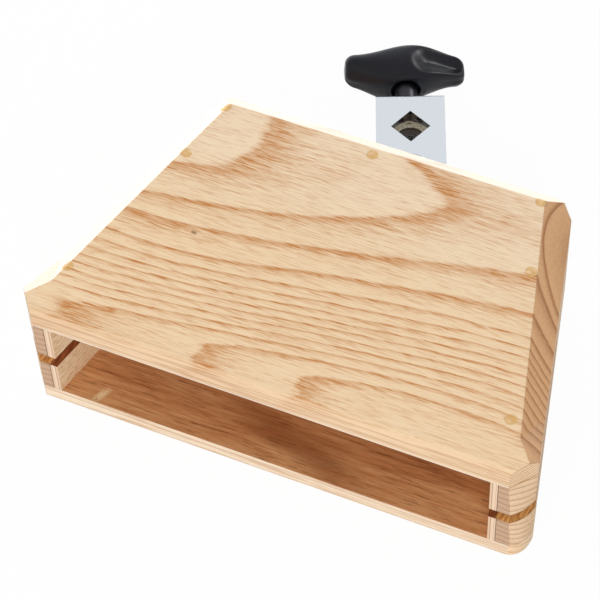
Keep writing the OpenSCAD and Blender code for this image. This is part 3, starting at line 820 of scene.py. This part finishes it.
# The hub: half sizes of its rounded square section, how square it is, how much nearer to the rod it
# lies than the wings, and how fast it thins out into them
HUB_HALF = (9.9, 9.5)
HUB_SQUARE = 2.6
HUB_NEAR = 0.45
SWELL_POWER = 1.9
# A tip rounds off over this share of the half span, and draws in by this share of its section
TIP_ROUND = 0.16
TIP_END = 0.55
# The scoop in the right wing's upper side, which is the left wing's lower one: its corner of the
# section, its depth, and the shares of the half span from which it is full and from which it runs out
SCOOP_CORNER = 2
SCOOP_DEPTH = 2.9
SCOOP_FULL = 0.36
SCOOP_END = 0.86
# Two cuts into the hub's side towards the rod, both from CUT_FROM on: a shallow dish, and in it the
# deeper recess round the bush
CUT_FROM = 10
DISH_RADIUS = 7.4
DISH_END = 25.3
RECESS_RADIUS = 5.7
RECESS_END = 29.0
DRUM_SIDES = 48


def drum(radius, near, far):
    """A round cutter along the bolt."""
    ring = [math.tau * j / DRUM_SIDES for j in range(DRUM_SIDES)]
    rows = [[at_bolt(radius * math.cos(a), y, radius * math.sin(a)) for a in ring] for y in (near, far)]
    return new_piece("cutter", *lofted(rows), plastic_mat)


def closed_curve(points, steps):
    """Points on a smooth closed curve through the points given."""
    count = len(points)
    curve = []
    for i in range(count):
        p0, p1, p2, p3 = (points[(i + k) % count] for k in (-1, 0, 1, 2))
        for step in range(steps):
            t = step / steps
            curve.append(0.5 * (2 * p1 + (p2 - p0) * t + (2 * p0 - 5 * p1 + 4 * p2 - p3) * t * t
                                + (3 * p1 - p0 - 3 * p2 + p3) * t ** 3))
    return curve


def hub_corner(k):
    """Point of the hub's rounded square section that runs into a wing's corner."""
    angle = math.tau * k / len(WING_SECTION)
    size = (abs(math.cos(angle)) ** HUB_SQUARE + abs(math.sin(angle)) ** HUB_SQUARE) ** (-1 / HUB_SQUARE)
    return Vector((HUB_HALF[0] * math.cos(angle), HUB_HALF[1] * math.sin(angle))) * size


def wing_row(u):
    """Closed row of points round the wing nut, u from -1 at the left tip to 1 at the right."""
    side = 1 if u >= 0 else -1
    reach = abs(u)
    swell = math.cos(math.pi / 2 * u) ** SWELL_POWER
    rounding = max(0.0, (reach - 1 + TIP_ROUND) / TIP_ROUND)
    draw_in = 1 - TIP_END * (1 - math.sqrt(max(0.0, 1 - rounding ** 2)))
    corners = [Vector(c) * (1 - swell) + hub_corner(k) * swell for k, c in enumerate(WING_SECTION)]
    scoop = smooth_step(reach, 0.0, SCOOP_FULL) * (1 - smooth_step(reach, SCOOP_END, 1.0))
    corners[SCOOP_CORNER].y -= SCOOP_DEPTH * scoop
    row = []
    for point in closed_curve(corners, CURVE_STEPS):
        x = u * WING_HALF
        y = WING_Y - HUB_NEAR * swell + point.x * draw_in
        z = side * point.y * draw_in + WING_BOW * math.sin(BOW_TURN * u)
        row.append(at_bolt(x * math.cos(WING_ROLL) + z * math.sin(WING_ROLL), y,
                           z * math.cos(WING_ROLL) - x * math.sin(WING_ROLL)))
    return row if side > 0 else [row[0]] + row[:0:-1]


def wing_nut():
    """Both wings and the hub in one loft, whose rows lie closer together towards the tips."""
    turns = [math.pi / 2 * (2 * i / WING_ROWS - 1) for i in range(WING_ROWS + 1)]
    nut = new_piece("wing_nut_body", *lofted([wing_row(math.sin(turn)) for turn in turns]), plastic_mat)
    dish = drum(DISH_RADIUS, CUT_FROM, DISH_END)
    recess = drum(RECESS_RADIUS, CUT_FROM, RECESS_END)
    reshape(nut, "DIFFERENCE", dish, recess)
    smooth_mesh(nut.data, sharp=35)
    stands_for(nut, "nut", "wing_nut")


wing_nut()


# Stage, lights and camera, in metres

FLOOR_SIZE = 6.0
FLOOR_DROP = 0.0002
# Share of plain white that the floor shows, and its paint under that and for other light
FLOOR_WHITE = 0.97
FLOOR_PAINT = (0.86, 0.86, 0.86, 1)
# Strength of the world as a light, and in mirrors
WORLD_LIGHT = 0.54
WORLD_MIRRORED = 0.98
LIGHTS_TARGET = Vector((0, 0, 0.03))
# The camera, solved from the block's own corners in the photograph: lens in millimetres, turn in degrees
CAMERA_LENS = 149.17
CAMERA_SENSOR = 36.0
CAMERA_PLACE = (0.201322, -0.448621, 0.729302)
CAMERA_TURN = (35.04737, 1.76279, 22.99210)


def seen_by(tree, *kinds):
    """For each kind of ray, 1 where such a ray arrives."""
    path = tree.nodes.new("ShaderNodeLightPath")
    return [Val(tree, path.outputs[f"Is {kind} Ray"]) for kind in kinds]


def floor_material():
    """White to the camera and in mirrors, with a soft shadow kept; plain pale paint for all other light."""
    mat = bpy.data.materials.new("studio_floor")
    mat.use_nodes = True
    tree = mat.node_tree
    tree.nodes.clear()
    out = tree.nodes.new("ShaderNodeOutputMaterial")
    paint = tree.nodes.new("ShaderNodeBsdfDiffuse")
    paint.inputs["Color"].default_value = FLOOR_PAINT
    glow = tree.nodes.new("ShaderNodeEmission")
    glow.inputs["Color"].default_value = (1, 1, 1, 1)
    glow.inputs["Strength"].default_value = 1.0
    camera, glossy, clear = seen_by(tree, "Camera", "Glossy", "Transmission")
    mix = tree.nodes.new("ShaderNodeMixShader")
    (camera.max(glossy).max(clear) * FLOOR_WHITE).put(mix.inputs[0])
    tree.links.new(paint.outputs[0], mix.inputs[1])
    tree.links.new(glow.outputs[0], mix.inputs[2])
    tree.links.new(mix.outputs[0], out.inputs["Surface"])
    return mat


def studio_floor():
    """A wide floor a hair below the block, so that the two don't flicker."""
    bpy.ops.mesh.primitive_plane_add(size=FLOOR_SIZE, location=(0, 0, -FLOOR_DROP))
    obj = bpy.context.object
    obj.name = "studio_floor"
    obj.data.materials.append(floor_material())


def studio_world():
    """White where the camera sees it, a little less in mirrors, and dimmer as a light."""
    world = bpy.context.scene.world or bpy.data.worlds.new("studio")
    bpy.context.scene.world = world
    world.use_nodes = True
    tree = world.node_tree
    tree.nodes.clear()
    out = tree.nodes.new("ShaderNodeOutputWorld")
    light = tree.nodes.new("ShaderNodeBackground")
    camera, glossy = seen_by(tree, "Camera", "Glossy")
    brightness = camera * (1 - WORLD_LIGHT) + glossy * (WORLD_MIRRORED - WORLD_LIGHT) + WORLD_LIGHT
    brightness.min(1).put(light.inputs["Strength"])
    tree.links.new(light.outputs[0], out.inputs["Surface"])


def softbox(name, place, size, power, colour=(1, 1, 1), mirrored=False, lighting=True):
    """A flat light turned to the block. It may show in mirrors, and may leave dull surfaces unlit."""
    data = bpy.data.lights.new(name, "AREA")
    data.shape = "RECTANGLE"
    data.size, data.size_y = size
    data.energy = power
    data.color = colour
    obj = bpy.data.objects.new(name, data)
    bpy.context.scene.collection.objects.link(obj)
    obj.location = place
    obj.rotation_mode = "QUATERNION"
    obj.rotation_quaternion = (LIGHTS_TARGET - Vector(place)).to_track_quat("-Z", "Y")
    obj.visible_glossy = mirrored
    obj.visible_diffuse = lighting


def photo_camera():
    """A long lens from the front and the right, well above."""
    data = bpy.data.cameras.new("camera")
    data.lens = CAMERA_LENS
    data.sensor_width = CAMERA_SENSOR
    data.clip_start = 0.05
    data.clip_end = 20
    obj = bpy.data.objects.new("camera", data)
    bpy.context.scene.collection.objects.link(obj)
    obj.location = CAMERA_PLACE
    obj.rotation_euler = tuple(math.radians(angle) for angle in CAMERA_TURN)
    bpy.context.scene.camera = obj


studio_floor()
studio_world()
softbox("key_back_left", place=(-0.85, 1.05, 0.22), size=(0.7, 0.4), power=24.0)
softbox("front_fill", place=(0.25, -1.1, 0.80), size=(0.9, 0.6), power=10.8, colour=(1.0, 0.99, 0.97))
softbox("nut_glint", place=(0.45, 1.05, 0.62), size=(0.3, 0.3), power=3.0, mirrored=True, lighting=False)
photo_camera()
bpy.context.scene.view_settings.view_transform = "Standard"
